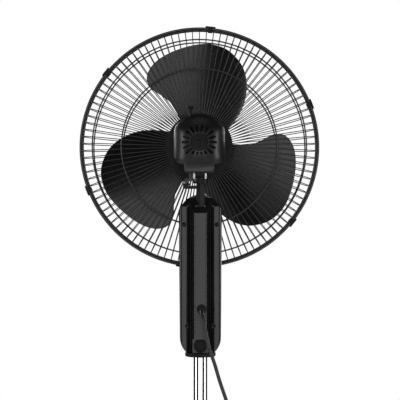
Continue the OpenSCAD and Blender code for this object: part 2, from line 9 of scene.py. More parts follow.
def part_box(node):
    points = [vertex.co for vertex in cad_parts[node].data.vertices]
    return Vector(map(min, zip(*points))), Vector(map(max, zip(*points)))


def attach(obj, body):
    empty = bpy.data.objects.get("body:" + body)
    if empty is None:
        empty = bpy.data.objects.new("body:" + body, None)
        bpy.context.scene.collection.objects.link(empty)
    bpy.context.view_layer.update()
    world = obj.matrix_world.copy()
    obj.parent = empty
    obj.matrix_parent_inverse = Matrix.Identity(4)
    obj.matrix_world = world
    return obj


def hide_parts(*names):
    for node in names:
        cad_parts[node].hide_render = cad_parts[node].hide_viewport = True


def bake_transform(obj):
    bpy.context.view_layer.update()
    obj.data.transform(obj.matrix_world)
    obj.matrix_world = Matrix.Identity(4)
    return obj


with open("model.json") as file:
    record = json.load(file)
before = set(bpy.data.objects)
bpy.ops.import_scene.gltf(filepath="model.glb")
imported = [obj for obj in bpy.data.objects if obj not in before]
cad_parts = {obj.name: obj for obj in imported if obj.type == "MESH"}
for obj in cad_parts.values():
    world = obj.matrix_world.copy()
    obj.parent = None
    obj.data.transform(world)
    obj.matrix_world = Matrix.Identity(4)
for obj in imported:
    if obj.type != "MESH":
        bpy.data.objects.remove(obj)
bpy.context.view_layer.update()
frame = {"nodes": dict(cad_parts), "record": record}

# Lengths below are in millimetres and become metres where a mesh or curve is made.
MM = 0.001

# ---- Places taken from the frame ----


def box_mm(node):
    low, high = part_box(node)
    return low / MM, high / MM


trim_low, trim_high = box_mm("guard_trim")
AXIS_Z = (trim_low.z + trim_high.z) / 2
RIM_Y = (trim_low.y + trim_high.y) / 2
GUARD_R = (trim_high.x - trim_low.x) / 2
HEAD_X = (trim_high.x + trim_low.x) / 2
HEAD_Y = RIM_Y + 80
HEAD_BODIES = ("head", "rotor", "puller")
END_RING_R = GUARD_R - 5.3
END_RING_OFF = 3.7
END_RING_D = 4.4
WIRE_COUNT = 102
WIRE_R = 0.8
WIRE_IN_R = 50
RING_R = 1.3
SEAT = END_RING_OFF + END_RING_D / 2 + 0.05


# ---- Mesh helpers ----


def add_object(name, data):
    obj = bpy.data.objects.new(name, data)
    bpy.context.scene.collection.objects.link(obj)
    return obj


def make_object(name, verts, faces):
    mesh = bpy.data.meshes.new(name)
    mesh.from_pydata([tuple(c * MM for c in v) for v in verts], [], faces)
    mesh.validate()
    return add_object(name, mesh)


def bake(obj):
    """Applies the object's modifiers to its mesh."""
    depsgraph = bpy.context.evaluated_depsgraph_get()
    mesh = bpy.data.meshes.new_from_object(obj.evaluated_get(depsgraph))
    obj.modifiers.clear()
    old = obj.data
    obj.data = mesh
    bpy.data.meshes.remove(old)
    return obj


def outward(obj):
    bm = bmesh.new()
    bm.from_mesh(obj.data)
    bmesh.ops.recalc_face_normals(bm, faces=bm.faces)
    bm.to_mesh(obj.data)
    bm.free()
    return obj


def smooth(obj, angle=40):
    obj.data.shade_smooth()
    obj.data.set_sharp_from_angle(angle=math.radians(angle))
    return obj


def round_edges(obj, width, segments=3, angle=35):
    """Rounds the object's sharp edges and keeps its flat faces flat in shading."""
    edge = obj.modifiers.new("edge", "BEVEL")
    edge.width = width * MM
    edge.segments = segments
    edge.limit_method = "ANGLE"
    edge.angle_limit = math.radians(angle)
    edge.miter_outer = "MITER_ARC"
    bake(obj)
    return settle(obj, 60)


def settle(obj, angle=40):
    """Shades the object smoothly, with its large flat faces kept flat."""
    smooth(obj, angle)
    weighted = obj.modifiers.new("normals", "WEIGHTED_NORMAL")
    weighted.keep_sharp = True
    return bake(obj)


def combine(obj, other, operation="DIFFERENCE"):
    """Cuts other away from obj, or adds it, or keeps what both share; other is used up."""
    step = obj.modifiers.new("combine", "BOOLEAN")
    step.operation = operation
    step.solver = "EXACT"
    step.object = other
    bake(obj)
    bpy.data.objects.remove(other)
    return obj


def join(name, parts):
    """One object from several closed ones, each keeping its own faces."""
    bm = bmesh.new()
    for part in parts:
        part.data.transform(part.matrix_world)
        bm.from_mesh(part.data)
        bpy.data.objects.remove(part)
    mesh = bpy.data.meshes.new(name)
    bm.to_mesh(mesh)
    bm.free()
    return add_object(name, mesh)


def fillet(points, radius, steps=4, closed=True):
    """The outline with its corners rounded; radius is one number or one for each corner."""
    out = []
    count = len(points)
    for i, p in enumerate(points):
        r = radius[i] if isinstance(radius, (list, tuple)) else radius
        p = Vector(p)
        if (not closed and i in (0, count - 1)) or r <= 0:
            out.append(tuple(p))
            continue
        before = Vector(points[i - 1]) - p
        after = Vector(points[(i + 1) % count]) - p
        angle = before.angle(after)
        if angle > math.radians(176):
            out.append(tuple(p))
            continue
        cut = min(r / math.tan(angle / 2), before.length * 0.49, after.length * 0.49)
        a = p + before.normalized() * cut
        b = p + after.normalized() * cut
        for k in range(steps + 1):
            t = k / steps
            out.append(tuple((1 - t) ** 2 * a + 2 * t * (1 - t) * p + t * t * b))
    return out


def ring_faces(n, rows, closed=True, first=0):
    """The faces between rows of n points each; first is the first row's first point.

    A closed run joins its last row to its first one, and an open run gets a face over each end.
    """
    faces = []
    for i in range(rows if closed else rows - 1):
        a, b = first + i * n, first + (i + 1) % rows * n
        for k in range(n):
            m = (k + 1) % n
            faces.append((a + k, a + m, b + m, b + k))
    if not closed:
        last = first + (rows - 1) * n
        faces += [tuple(range(first, first + n)), tuple(range(last + n - 1, last - 1, -1))]
    return faces


def lathe(name, profile, axis="Y", at=(0, 0, 0), sides=96):
    """Turns a closed outline of (radius, height) points about the Y or Z axis through at."""
    verts = []
    for i in range(sides):
        a = 2 * math.pi * i / sides
        for r, h in profile:
            x, s = r * math.cos(a), r * math.sin(a)
            place = (x, h, s) if axis == "Y" else (x, s, h)
            verts.append(tuple(p + q for p, q in zip(at, place)))
    obj = make_object(name, verts, ring_faces(len(profile), sides))
    bm = bmesh.new()
    bm.from_mesh(obj.data)
    bmesh.ops.remove_doubles(bm, verts=bm.verts, dist=1e-7)
    bmesh.ops.dissolve_degenerate(bm, edges=bm.edges, dist=1e-7)
    bmesh.ops.recalc_face_normals(bm, faces=bm.faces)
    bm.to_mesh(obj.data)
    bm.free()
    return smooth(obj, 35)


def prism(name, outline, axis, low, high):
    """Extrudes a flat outline along an axis: (x, z) along Y, (x, y) along Z or (y, z) along X."""
    place = {
        "Y": lambda p, h: (p[0], h, p[1]),
        "Z": lambda p, h: (p[0], p[1], h),
        "X": lambda p, h: (h, p[0], p[1]),
    }[axis]
    n = len(outline)
    verts = [place(p, low) for p in outline] + [place(p, high) for p in outline]
    faces = [tuple(range(n)), tuple(range(2 * n - 1, n - 1, -1))]
    faces += [(i, i + n, (i + 1) % n + n, (i + 1) % n) for i in range(n)]
    return outward(make_object(name, verts, faces))


def block(name, x, y, z):
    """A box between two numbers on each axis."""
    return prism(name, [(x[0], y[0]), (x[1], y[0]), (x[1], y[1]), (x[0], y[1])], "Z", z[0], z[1])


def circle(centre, radius, count=32, start=0.0, end=360.0):
    """A circle's points, or those of an arc with both its ends."""
    closed = abs(end - start) >= 360
    steps = count if closed else count + 1
    turns = [math.radians(start + (end - start) * i / count) for i in range(steps)]
    return [(centre[0] + radius * math.cos(a), centre[1] + radius * math.sin(a)) for a in turns]


def rod(name, centre, radius, axis, low, high, count=32):
    return prism(name, circle(centre, radius, count), axis, low, high)


def turn_about_axis(part, angle):
    """Turns an object about the fan's axis by an angle in degrees."""
    spin = Matrix.Translation((0, 0, AXIS_Z * MM)) @ Matrix.Rotation(math.radians(angle), 4, "Y")
    part.data.transform(spin @ Matrix.Translation((0, 0, -AXIS_Z * MM)))
    return part


# ---- Materials ----


class Surface:
    """A node material: a Principled shader with a few patterns feeding it."""

    def __init__(self, name, color, roughness, metallic=0.0, **sockets):
        self.material = bpy.data.materials.new(name)
        self.material.use_nodes = True
        self.nodes = self.material.node_tree.nodes
        self.links = self.material.node_tree.links
        self.shader = self.nodes["Principled BSDF"]
        self.shader.inputs["Base Color"].default_value = (*color, 1)
        self.shader.inputs["Roughness"].default_value = roughness
        self.shader.inputs["Metallic"].default_value = metallic
        for key, value in sockets.items():
            self.shader.inputs[key.replace("_", " ")].default_value = value
        self.coords = self.nodes.new("ShaderNodeTexCoord").outputs["Object"]
        self.height = None

    def noise(self, scale, detail=4.0, stretch=(1, 1, 1)):
        mapping = self.nodes.new("ShaderNodeMapping")
        mapping.inputs["Scale"].default_value = stretch
        texture = self.nodes.new("ShaderNodeTexNoise")
        texture.inputs["Scale"].default_value = scale
        texture.inputs["Detail"].default_value = detail
        self.links.new(self.coords, mapping.inputs["Vector"])
        self.links.new(mapping.outputs["Vector"], texture.inputs["Vector"])
        return texture.outputs["Fac"]

    def cells(self, scale):
        texture = self.nodes.new("ShaderNodeTexVoronoi")
        texture.inputs["Scale"].default_value = scale
        self.links.new(self.coords, texture.inputs["Vector"])
        return texture.outputs["Distance"]

    def vary(self, socket, fac, low, high):
        """Drives a number socket, or a colour one, between two values by a pattern."""
        ramp = self.nodes.new("ShaderNodeValToRGB")
        ramp.color_ramp.elements[0].position = 0.3
        ramp.color_ramp.elements[1].position = 0.7
        for element, value in zip(ramp.color_ramp.elements, (low, high)):
            element.color = (*value, 1) if isinstance(value, tuple) else (value, value, value, 1)
        self.links.new(fac, ramp.inputs["Fac"])
        self.links.new(ramp.outputs["Color"], self.shader.inputs[socket])
        return self

    def bump(self, fac, strength, depth):
        """Adds a bump; depth is the pattern's height in millimetres."""
        node = self.nodes.new("ShaderNodeBump")
        node.inputs["Strength"].default_value = strength
        node.inputs["Distance"].default_value = depth * MM
        self.links.new(fac, node.inputs["Height"])
        if self.height is not None:
            self.links.new(self.height, node.inputs["Normal"])
        self.height = node.outputs["Normal"]
        self.links.new(self.height, self.shader.inputs["Normal"])
        return self


def moulded(name, color, roughness, grain=0.03):
    """Moulded plastic: slight colour drift, uneven gloss and a fine surface grain."""
    s = Surface(name, color, roughness)
    s.vary("Base Color", s.noise(14, 3), color, tuple(c * 1.5 + 0.003 for c in color))
    s.vary("Roughness", s.noise(60, 5), roughness - 0.04, roughness + 0.04)
    s.bump(s.noise(2600, 2), 0.25, grain)
    return s.bump(s.noise(30, 2), 0.1, 0.05).material


def textured(name, color, roughness, gloss=0.2):
    """Plastic with a fine spark-eroded texture, which takes most of its gloss away."""
    s = Surface(name, color, roughness, Specular_IOR_Level=gloss)
    s.vary("Base Color", s.noise(30, 3), color, tuple(c * 1.5 + 0.004 for c in color))
    s.vary("Roughness", s.noise(90, 4), roughness - 0.06, roughness + 0.08)
    return s.bump(s.cells(1500), 0.5, 0.05).material


def painted(name, color, roughness, gloss=0.5):
    """Powder coat with its slight orange peel."""
    s = Surface(name, color, roughness, Specular_IOR_Level=gloss)
    s.vary("Base Color", s.noise(25, 3), color, tuple(c * 1.4 + 0.003 for c in color))
    s.vary("Roughness", s.noise(120, 4), roughness - 0.05, roughness + 0.08)
    return s.bump(s.noise(900, 3), 0.35, 0.06).material


def metal(name, color, roughness, stretch=(1, 1, 30), grain=0.02):
    """Bare or plated metal with drawn lines along one direction."""
    s = Surface(name, color, roughness, metallic=1.0)
    lines = s.noise(40, 5, stretch)
    s.vary("Roughness", lines, max(roughness - 0.05, 0.02), roughness + 0.08)
    s.vary("Base Color", s.noise(18, 3), tuple(c * 0.93 for c in color), color)
    return s.bump(lines, 0.2, grain).material


def polished(name, color, roughness):
    """Chrome plating with faint smears."""
    s = Surface(name, color, roughness, metallic=1.0)
    s.vary("Roughness", s.noise(30, 3), 0.03, 0.07)
    return s.material


def varnished(name, color, roughness):
    """A circuit board's speckled green."""
    s = Surface(name, color, roughness)
    s.vary("Base Color", s.cells(180), (0.02, 0.1, 0.04), (0.04, 0.17, 0.07))
    return s.bump(s.cells(180), 0.4, 0.2).material


def sheathed(name, color, roughness):
    """The soft sheath of a mains lead."""
    s = Surface(name, color, roughness)
    s.vary("Roughness", s.noise(150, 4), 0.3, 0.44)
    s.vary("Base Color", s.noise(30, 3), (0.01, 0.01, 0.01), (0.02, 0.02, 0.021))
    return s.bump(s.noise(400, 3), 0.2, 0.1).material


# Each material slot's maker with its colour, its roughness and what else that maker takes.
FINISHES = {
    "gloss_black": (moulded, (0.005, 0.005, 0.0048), 0.36, 0.01),
    "box_black": (moulded, (0.006, 0.006, 0.0063), 0.26, 0.015),
    "matte_black": (textured, (0.009, 0.009, 0.0095), 0.5, 0.12),
    "blade_black": (moulded, (0.004, 0.004, 0.0042), 0.25, 0.015),
    "trim_black": (moulded, (0.016, 0.016, 0.017), 0.38),
    "badge_grey": (textured, (0.035, 0.035, 0.037), 0.42),
    "panel_grey": (moulded, (0.03, 0.03, 0.032), 0.18, 0.01),
    "window": (moulded, (0.006, 0.006, 0.01), 0.08, 0.005),
    "button_red": (textured, (0.3, 0.02, 0.02), 0.45),
    "button_grey": (textured, (0.12, 0.12, 0.125), 0.45),
    "rubber": (textured, (0.014, 0.014, 0.014), 0.62),
    "nylon_black": (moulded, (0.014, 0.014, 0.014), 0.42),
    "black_paint": (painted, (0.006, 0.006, 0.006), 0.4, 0.22),
    "wire_black": (painted, (0.012, 0.012, 0.012), 0.34),
    "plate_steel": (painted, (0.06, 0.06, 0.062), 0.5),
    "cast": (metal, (0.16, 0.16, 0.17), 0.6, (1, 1, 1), 0.2),
    "zinc": (metal, (0.5, 0.51, 0.52), 0.28),
    "dark_steel": (metal, (0.02, 0.02, 0.022), 0.4),
    "chrome": (polished, (0.88, 0.89, 0.9), 0.05),
    "brass": (metal, (0.78, 0.6, 0.3), 0.22),
    "bronze": (metal, (0.5, 0.34, 0.18), 0.45, (1, 1, 1)),
    "copper": (metal, (0.6, 0.25, 0.12), 0.35, (1, 60, 1), 0.15),
    "lamination": (metal, (0.3, 0.3, 0.31), 0.45, (1, 120, 1), 0.1),
    "board": (varnished, (0.03, 0.13, 0.05), 0.4),
    "cord_black": (sheathed, (0.012, 0.012, 0.012), 0.36),
}
MATERIALS = {slot: maker(slot, *values) for slot, (maker, *values) in FINISHES.items()}


def finish_piece(obj, slot, body, *nodes):
    """Gives a piece its material, rides it on its body and hides the CAD nodes it stands for.

    The head's pieces are modelled about x = 0 and move to the head's own place here.
    """
    if body in HEAD_BODIES:
        obj.data.transform(Matrix.Translation((HEAD_X * MM, 0, 0)))
    if not obj.data.materials:
        obj.data.materials.append(MATERIALS[slot])
    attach(obj, body)
    if nodes:
        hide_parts(*nodes)
    return obj


# ---- Camera ----

CAMERA_DISTANCE = 2600
CAMERA_HEIGHT = 943.3
CAMERA_SIDE = 0.7          # the camera stands this far to +X and looks straight along -Y
RIM_SCALE = 1.8384         # millimetres at the rim for each of PICTURE_STEPS steps across the picture
PICTURE_STEPS = 400
SENSOR = 36


def make_camera():
    data = bpy.data.cameras.new("camera")
    data.sensor_width = SENSOR
    data.lens = SENSOR / PICTURE_STEPS * (CAMERA_DISTANCE - RIM_Y) / RIM_SCALE
    data.clip_end = 50
    camera = add_object("camera", data)
    camera.location = (CAMERA_SIDE * MM, CAMERA_DISTANCE * MM, CAMERA_HEIGHT * MM)
    camera.rotation_euler = (math.radians(90), 0, math.radians(180))
    bpy.context.scene.camera = camera


# ---- Mains lead ----

CORD_D = 6.4
LEAD_FLOOR = CORD_D / 2
GLAND = (-2, 50, 752)      # where the lead leaves its relief
LEAD_POINTS = [
    GLAND, (-2, 58, 751), (-3, 67, 746), (-5.5, 73, 736), (-8.5, 76, 720), (-15, 79, 690),
    (-24.5, 81, 662), (-33.5, 84, 632), (-46.5, 87, 594), (-62, 92, 545), (-79, 99, 490), (-95, 108, 430),
    (-110, 119, 365), (-122, 131, 300), (-132, 144, 235), (-140, 158, 170), (-147, 173, 110),
    (-153, 190, 60), (-157, 206, 24), (-156, 221, 7), (-147, 234, LEAD_FLOOR), (-131, 238, LEAD_FLOOR),
    (-111, 233, LEAD_FLOOR), (-91, 226, LEAD_FLOOR),
]
COIL_AT = (-66, 262)
COIL_MID_R = 33
COIL_TURNS = 4.25
PLUG_TAIL = 27


def through(points, steps):
    """A smooth curve through the points, with steps between each two."""
    out = []
    for i in range(len(points) - 1):
        a, b, c, d = (Vector(points[min(max(k, 0), len(points) - 1)]) for k in (i - 1, i, i + 1, i + 2))
        for k in range(steps):
            t = k / steps
            out.append(0.5 * (2 * b + (c - a) * t + (2 * a - 5 * b + 4 * c - d) * t * t
                              + (3 * b - a - 3 * c + d) * t ** 3))
    out.append(Vector(points[-1]))
    return out


def ease(t):
    t = min(max(t, 0.0), 1.0)
    return t * t * (3 - 2 * t)


def coil_point(turns):
    """Outer then inner turn on the floor, inner then outer turn on top of them."""
    inward = ease((turns - 0.9) / 0.2) - ease((turns - 2.9) / 0.2)
    up = ease((turns - 1.85) / 0.3)
    radius = COIL_MID_R + CORD_D / 2 - CORD_D * inward
    a = math.radians(-90) + 2 * math.pi * turns
    x, y = COIL_AT[0] + radius * math.cos(a), COIL_AT[1] + radius * math.sin(a)
    return Vector((x, y, LEAD_FLOOR + CORD_D * up))


def make_cord():
    """The lead as a tube, and its middle line in metres."""
    path = through(LEAD_POINTS, 4)
    count = int(COIL_TURNS * 40)
    path += [coil_point(COIL_TURNS * i / count) for i in range(count + 1)]
    end_x = COIL_AT[0] + COIL_MID_R + CORD_D / 2
    plug_y = box_mm("plug")[0].y
    path += [Vector((end_x, COIL_AT[1] + 12, LEAD_FLOOR + CORD_D - 0.4)), Vector((end_x, plug_y + 1, 8))]
    data = bpy.data.curves.new("mains_lead", "CURVE")
    data.dimensions = "3D"
    data.bevel_depth = CORD_D / 2 * MM
    data.bevel_resolution = 4
    data.use_fill_caps = True
    spline = data.splines.new("POLY")
    spline.points.add(len(path) - 1)
    for point, p in zip(spline.points, path):
        point.co = (*(p * MM), 1)
    line = add_object("lead_line", data)
    mesh = bpy.data.meshes.new_from_object(line.evaluated_get(bpy.context.evaluated_depsgraph_get()))
    bpy.data.objects.remove(line)
    return smooth(add_object("mains_lead", mesh), 60), [tuple(p * MM) for p in path]


def hang_cord(lead):
    """Gives the lead its sheath material, moves its place into its mesh and hides the CAD lead and coil."""
    lead.data.materials.append(MATERIALS["cord_black"])
    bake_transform(lead)
    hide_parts("cord_lead", "cord_coil")


def make_plug():
    """A moulded plug body with a ribbed, tapered relief; its two pins keep their CAD shape."""
    low, high = box_mm("plug")
    x = (low.x + high.x) / 2
    face = high.y
    outline = [(x - 7, face - 30), (x + 7, face - 30), (x + 12, face - 20), (x + 12, face),
               (x - 12, face), (x - 12, face - 20)]
    body = prism("plug_body", fillet(outline, 3), "Z", 0, 16)
    round_edges(body, 2.4)
    rings = []
    for i in range(8):
        y = 1 + i * 3.2
        r = CORD_D / 2 + 0.7 + 2.2 * i / 7
        rings += [(r, y), (r, y + 1.9), (r - 0.8, y + 2.2), (r - 0.8, y + 3.0)]
    profile = [(CORD_D / 2 - 0.4, 0)] + rings + [(CORD_D / 2 - 0.4, PLUG_TAIL + 1)]
    tail = lathe("plug_tail", profile, "Y", (x, face - 30 - PLUG_TAIL, 8), 32)
    return join("plug_moulding", [body, tail])


def make_strain_relief():
    """The ribbed sleeve where the lead leaves the box, with its collar against the rib."""
    rib = box_mm("strain_relief")[1].y - 26
    profile = [(0.2, rib - 10), (7.9, rib - 10), (7.9, rib - 4), (5.9, rib - 4), (5.9, rib + 0.05),
               (8.6, rib + 0.05), (8.6, rib + 2.2), (8.1, rib + 2.8), (6.6, rib + 2.8), (6.2, rib + 2.2),
               (5.9, rib + 2.2)]
    for i in range(7):
        y = rib + 4 + i * 3.1
        r = 5.7 - 1.5 * i / 6
        profile += [(r, y), (r, y + 1.9), (r - 0.7, y + 2.2), (r - 0.7, y + 2.8)]
    profile += [(4.0, rib + 26), (0.2, rib + 26)]
    return lathe("lead_relief", profile, "Y", (GLAND[0], 0, GLAND[2]), 40)


# ---- Stand ----

POLE_HOLE_R = 15.3         # the hole for the outer pole


def make_stand():
    low, high = box_mm("base_cover")
    base_r = (high.x - low.x) / 2
    outside = [(base_r, low.z), (base_r, 9), (base_r - 3, 15), (base_r - 16, 18.6), (60, 27), (38, 30)]
    outside = fillet(outside, [0, 5, 5, 30, 60, 10], 6, closed=False)
    inside = [(POLE_HOLE_R, 30), (POLE_HOLE_R, 27.5), (36, 27.5), (60, 24.5), (base_r - 16, 16.1),
              (base_r - 5, 13.2), (base_r - 2.6, 8), (base_r - 2.6, low.z)]
    cover = lathe("base_shell", outside + inside, "Z", sides=160)
    finish_piece(cover, "gloss_black", "base", "base_cover")
    cone = [(POLE_HOLE_R, 30.1), (38, 30.1), (38, 34), (26, 44), (20, 62), (18.5, 78), (POLE_HOLE_R, 78)]
    trim = lathe("pole_foot_trim", fillet(cone, [0, 0.8, 2, 14, 30, 1.2, 0.4], 5), "Z", sides=80)
    finish_piece(trim, "matte_black", "base", "pole_trim")
    top = box_mm("outer_pole")[1].z
    tube = fillet([(15, 26), (15, top), (12.7, top), (12.7, 26)], 0.5, 2)
    finish_piece(lathe("outer_tube", tube, "Z", sides=72), "black_paint", "base", "outer_pole")
    finish_piece(height_collar(), "matte_black", "collar", "height_collar")
    low, high = box_mm("inner_pole")
    tube = fillet([(12, low.z), (12, high.z), (10.8, high.z), (10.8, low.z)], 0.3, 2)
    finish_piece(lathe("chrome_tube", tube, "Z"), "chrome", "column", "inner_pole")


def height_collar():
    """The nut that clamps the sliding pole: a tapered sleeve with finger flutes."""
    low, high = box_mm("height_collar")
    step = high.z - 12.7
    points = [(POLE_HOLE_R, low.z), (20, low.z), (22, low.z + 6), (22, high.z - 12), (19, high.z),
              (12.6, high.z), (12.6, step), (POLE_HOLE_R, step)]
    profile = fillet(points, [0.3, 1, 2.5, 3, 1.5, 0.4, 0, 0], 4)
    sides, flutes = 192, 16
    verts = []
    for i in range(sides):
        a = 2 * math.pi * i / sides
        flute = max(0.0, math.cos(flutes * a)) ** 0.5
        for r, z in profile:
            grip = ease((z - low.z - 8) / 4) * ease((high.z - 16 - z) / 4) * ease((r - 18) / 2)
            out = r - 1.3 * flute * grip
            verts.append((out * math.cos(a), out * math.sin(a), z))
    return smooth(outward(make_object("clamp_collar", verts, ring_faces(len(profile), sides))), 35)


# ---- Control box ----

BOX_R = 38.1
BOX_LOW_R = 36.2
BOX_TOP_Z = 915
BOX_LOW_Z = 702
BOX_FOOT_Z = 674
SPLIT_Y = -1
RIB_Y = 24
FRONT_Y = -34
KNOB_Z = 687
WALL = 2.5
SHELL_SCREWS = [(28.7, 900), (-28.7, 900), (23.4, 722), (-23.4, 722)]


def box_outline(t):
    """The box seen from the rear, moved in by t: a rounded top, tapering sides and a level foot."""
    top, low, drop = BOX_R - t, BOX_LOW_R - t, BOX_LOW_Z - BOX_FOOT_Z - t
    turn = math.degrees(math.asin(drop / low))
    outline = circle((0, BOX_TOP_Z), top, 48, 0, 180)
    outline += circle((0, BOX_LOW_Z), low, 16, 180, 180 + turn)
    return outline + circle((0, BOX_LOW_Z), low, 16, -turn, 0)


def mirrored(half, radii, steps):
    """A rounded outline from its +X half."""
    outline = half + [(-x, y) for x, y in reversed(half)]
    return fillet(outline, radii + radii[::-1], steps)


def rear_section(t):
    """The section across the rear, moved in by t: rounded wings, valleys and the flat rib between them."""
    half = [(BOX_R - t, SPLIT_Y - t), (BOX_R - t, 6 - t / 6), (36.3 - 0.8 * t, 11 - 0.7 * t),
            (32.5 - 0.3 * t, 13.3 - t), (24.5 + 0.3 * t, 13.6 - t), (21.5 + 0.7 * t, 11.4 - 0.7 * t),
            (17.5 - 0.3 * t, 6.5 - 2 * t), (10.5 - 0.7 * t, RIB_Y - t)]
    return mirrored(half, [0, 3, 6, 30, 30, 9, 0.3, 3.6], 8)


def front_section(t):
    half = [(BOX_R - t, SPLIT_Y + t), (BOX_R - t, -22 + t / 2), (31 - t, -30 + t), (22 - t, FRONT_Y + t)]
    return mirrored(half, [0, 9, 9, 9], 6)


def shoulder(t):
    outline = [(30 - t, 914 - t), (-5 - t, 951.5 - t), (-5 - t, 990), (60, 990), (60, 914 - t)]
    return prism("shoulder", outline, "X", -60, 60)


def box_form(section, t):
    """A shell's solid form, moved in by t."""
    form = prism("form", section(t), "Z", BOX_FOOT_Z - 1, 970)
    return combine(form, prism("rim", box_outline(t), "Y", -60, 60), "INTERSECT")


RECESS_Y = 16              # the flat behind the lock knob
RECESS_W = 14
BOSS_R = {"rear": 5.4, "front": 4.2}
SLOT_W = 8.2               # half the width of the slot for the bracket's stem
BUTTON_Z = [862, 836, 810, 784]
BUTTONS = {"power": "button_red", "speed": "button_grey", "timer": "button_grey", "swing": "button_grey"}
BUTTON_HOLE_R = 6.9
WINDOW_W, WINDOW_Z = 14, (886, 906)
THROUGH_FRONT = (-45, -25)


def cut_controls(obj):
    """Cuts the buttons' holes and the display's window through the front."""
    for z in BUTTON_Z:
        combine(obj, rod("button_hole", (0, z), BUTTON_HOLE_R, "Y", *THROUGH_FRONT))
    combine(obj, block("window_hole", (-WINDOW_W, WINDOW_W), THROUGH_FRONT, WINDOW_Z))


def make_rear_shell():
    shell = box_form(rear_section, 0)
    shell.name = "box_rear"
    combine(shell, shoulder(0))
    recess = block("knob_recess", (-RECESS_W, RECESS_W), (RECESS_Y, 60), (640, 699))
    combine(shell, recess)
    inside = box_form(rear_section, WALL)
    combine(inside, shoulder(WALL))
    behind = block("knob_recess", (-RECESS_W - WALL, RECESS_W + WALL), (RECESS_Y - WALL, 60), (640, 702))
    combine(inside, behind)
    for x, z in SHELL_SCREWS:
        combine(inside, rod("boss", (x, z), BOSS_R["rear"], "Y", 2, 20))
    combine(shell, inside)
    round_edges(shell, 0.9, 3, 38)
    combine(shell, block("stem_slot", (-SLOT_W, SLOT_W), (-13, 15), (916, 990)))
    for x, z in SHELL_SCREWS:
        combine(shell, rod("hole", (x, z), 1.8, "Y", -5, 40))
        combine(shell, rod("recess", (x, z), 4.2, "Y", 9, 40))
    combine(shell, rod("gland_hole", (GLAND[0], GLAND[2]), 6, "Y", 0, 40))
    combine(shell, rod("knob_hole", (0, KNOB_Z), 3.2, "Y", 0, 40))
    combine(shell, rod("pole_hole", (0, 0), 12.2, "Z", 660, 690, 64))
    return settle(shell)


def make_front_shell():
    shell = box_form(front_section, 0)
    shell.name = "box_front"
    inside = box_form(front_section, WALL)
    for x, z in SHELL_SCREWS:
        combine(inside, rod("boss", (x, z), BOSS_R["front"], "Y", -40, SPLIT_Y))
    combine(shell, inside)
    combine(shell, block("seam", (-60, 60), (SPLIT_Y - 0.05, 5), (600, 1000)))
    round_edges(shell, 2.2, 4, 38)
    combine(shell, block("stem_slot", (-SLOT_W, SLOT_W), (-13, 60), (916, 990)))
    cut_controls(shell)
    combine(shell, rod("pole_hole", (0, 0), 12.2, "Z", 660, 690, 64))
    return settle(shell)


def make_panel():
    outline = fillet([(-19, 768), (19, 768), (19, 912), (-19, 912)], 6)
    panel = prism("panel_plate", outline, "Y", FRONT_Y - 1.4, FRONT_Y - 0.05)
    cut_controls(panel)
    finish_piece(smooth(panel), "panel_grey", "column", "control_panel")
    window = block("display_pane", (-13.95, 13.95), (FRONT_Y - 1.2, FRONT_Y + 2), (886.05, 905.95))
    finish_piece(round_edges(window, 0.4, 2), "window", "column", "display_window")
    for (name, slot), z in zip(BUTTONS.items(), BUTTON_Z):
        profile = fillet([(0.05, -29.2), (8.1, -29.2), (8.1, -30.9), (6.5, -30.9), (6.5, FRONT_Y - 3),
                          (4.2, FRONT_Y - 2.6), (0.05, FRONT_Y - 2.4)], [0, 0.2, 0.2, 0, 0.7, 0.6, 0], 3)
        cap = lathe(name + "_cap", profile, "Y", (0, 0, z), 48)
        finish_piece(cap, slot, "button_" + name, name + "_button")


def make_lock_knob():
    """A fluted thumb knob with a raised rim around its sunk middle."""
    points = [(3, 12.3), (3, 16.4), (11.8, 16.4), (11.8, 26.6), (10.2, 27), (8.8, 26.6), (8.6, 22)]
    profile = fillet(points, [0, 0, 0.8, 0.8, 1, 0.6, 0], 4, closed=False) + [(0.05, 22), (0.05, 12.3)]
    sides, flutes = 144, 12
    verts = []
    for i in range(sides):
        a = 2 * math.pi * i / sides
        flute = max(0.0, math.cos(flutes * a)) ** 0.6
        for r, y in profile:
            out = r - 0.6 * flute * ease(r - 10.5) * ease((y - 16) / 1.5)
            verts.append((out * math.cos(a), y, KNOB_Z + out * math.sin(a)))
    return smooth(outward(make_object("thumb_knob", verts, ring_faces(len(profile), sides))), 35)


def screw_head(name, at, radius, top):
    """A pan-head screw seen from the rear, with a cross recess; at is (x, z) and top its y."""
    points = [(0.05, top - 2), (radius, top - 2), (radius, top - 0.9), (radius * 0.6, top - 0.1), (0.05, top)]
    head = lathe(name, fillet(points, [0, 0, 0.4, 0.8, 0], 4), "Y", (at[0], 0, at[1]), 32)
    half, arm = 0.45, radius * 0.62
    for x, z in ((half, arm), (arm, half)):
        combine(head, block("slot", (at[0] - x, at[0] + x), (top - 0.9, top + 1), (at[1] - z, at[1] + z)))
    return head


def make_box():
    finish_piece(make_rear_shell(), "box_black", "column", "rear_shell")
    finish_piece(make_front_shell(), "box_black", "column", "front_shell")
    heads = [screw_head("shell_screw", p, 3.2, 11) for p in SHELL_SCREWS]
    shanks = [rod("shank", p, 1.5, "Y", -24, 9.2, 20) for p in SHELL_SCREWS]
    finish_piece(smooth(join("shell_screw_set", heads + shanks), 35), "dark_steel", "column", "shell_screws")
    low, high = box_mm("box_collar")
    points = [(12.2, low.z), (26, low.z), (27, low.z + 2), (27, high.z), (12.2, high.z)]
    collar = lathe("foot_collar", fillet(points, [0, 0.8, 1, 0.6, 0], 3), "Z")
    finish_piece(collar, "matte_black", "column", "box_collar")
    finish_piece(make_lock_knob(), "matte_black", "knob", "lock_knob")
    make_panel()


# ---- Tilt and swivel ----

TILT_Z = 932
ARM_LOW, ARM_HIGH = 986, 996
LINK_Z = 969
STUD = (26, -12)
CRANK_PIN = (24.8, 37)


